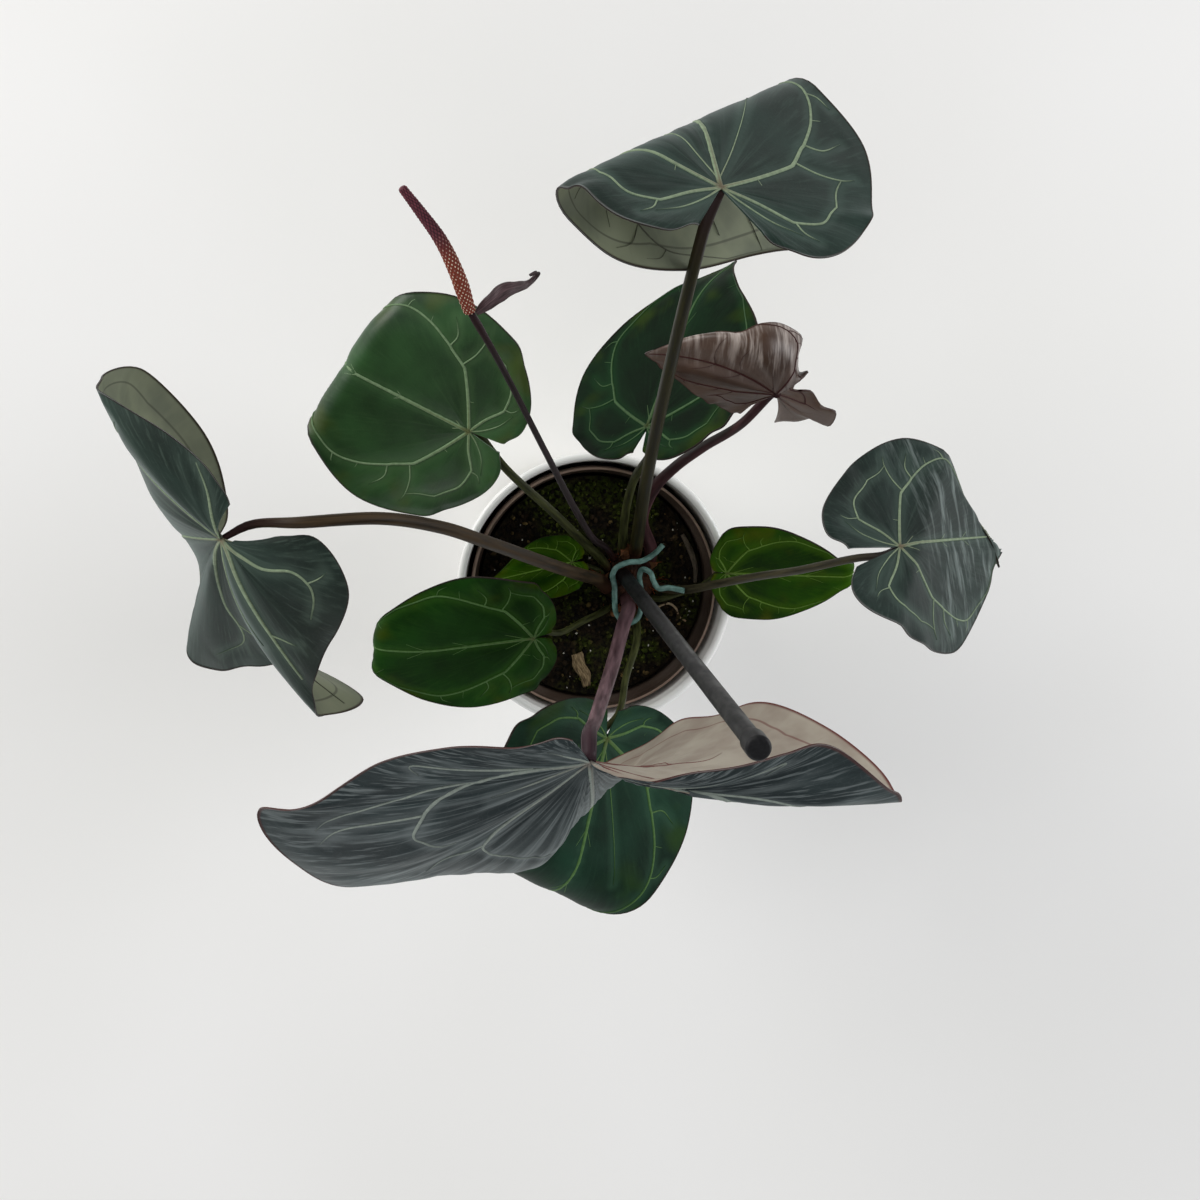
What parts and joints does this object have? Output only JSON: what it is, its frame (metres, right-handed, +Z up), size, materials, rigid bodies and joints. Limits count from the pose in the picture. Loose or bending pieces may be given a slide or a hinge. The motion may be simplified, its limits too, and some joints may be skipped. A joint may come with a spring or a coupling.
{
  "type": "potted anthurium hybrid",
  "caption": "Potted anthurium hybrid with heart-shaped pale-veined velvet leaves on long stalks, a slim spadix and a stake, in a nursery pot inside a white cachepot.",
  "frame": {"origin": "centre of the flat underside of the cachepot, where the plant stands", "axes": "+Z up along the axis of both pots; +X to the right and +Y to the top in the picture's view from above, so +Y points to the back of the plant"},
  "size_m": [0.378, 0.3744, 0.495],
  "materials": {
    "pot_glaze": "glossy white glaze",
    "grower_plastic": "satin moulded plastic",
    "potting_mix": "damp, coarse and matt",
    "stake_coat": "satin coated rod",
    "tie_coat": "satin coated wire",
    "crown_fibre": "fibrous and matt",
    "bark": "rough and matt",
    "dry_root": "dry, wrinkled and matt",
    "leaf_velvet": "velvety with a soft sheen",
    "leaf_green": "satin green with pale veins",
    "leaf_young": "satin yellow green with pale veins",
    "leaf_bronze": "soft, silvery and satin",
    "stalk_brown": "smooth, ribbed and satin",
    "stalk_mauve": "smooth, ribbed and satin",
    "stalk_green": "smooth and satin",
    "spadix_skin": "beaded and matt",
    "spathe_skin": "thin and satin"
  },
  "bodies": {
    "root": {"cachepot": "pot_glaze", "nursery_pot": "grower_plastic", "soil": "potting_mix", "stake": "stake_coat", "tie": "tie_coat", "crown": "crown_fibre", "bark_chip": "bark", "dry_root": "dry_root", "peduncle": "stalk_brown", "spathe": "spathe_skin", "spadix": "spadix_skin", "petiole_rear_velvet": "stalk_brown", "blade_rear_velvet": "leaf_velvet", "petiole_left_velvet": "stalk_brown", "blade_left_velvet": "leaf_velvet", "petiole_front_quilted": "stalk_mauve", "blade_front_quilted": "leaf_velvet", "petiole_left_green": "stalk_green", "blade_left_green": "leaf_green", "petiole_rear_green": "stalk_green", "blade_rear_green": "leaf_green", "petiole_bronze_new": "stalk_brown", "blade_bronze_new": "leaf_bronze", "petiole_right_velvet": "stalk_green", "blade_right_velvet": "leaf_velvet", "petiole_right_small": "stalk_green", "blade_right_small": "leaf_young", "petiole_left_low": "stalk_green", "blade_left_low": "leaf_green", "petiole_front_green": "stalk_green", "blade_front_green": "leaf_green", "petiole_lowest_small": "stalk_green", "blade_lowest_small": "leaf_young"}
  },
  "joints": []
}
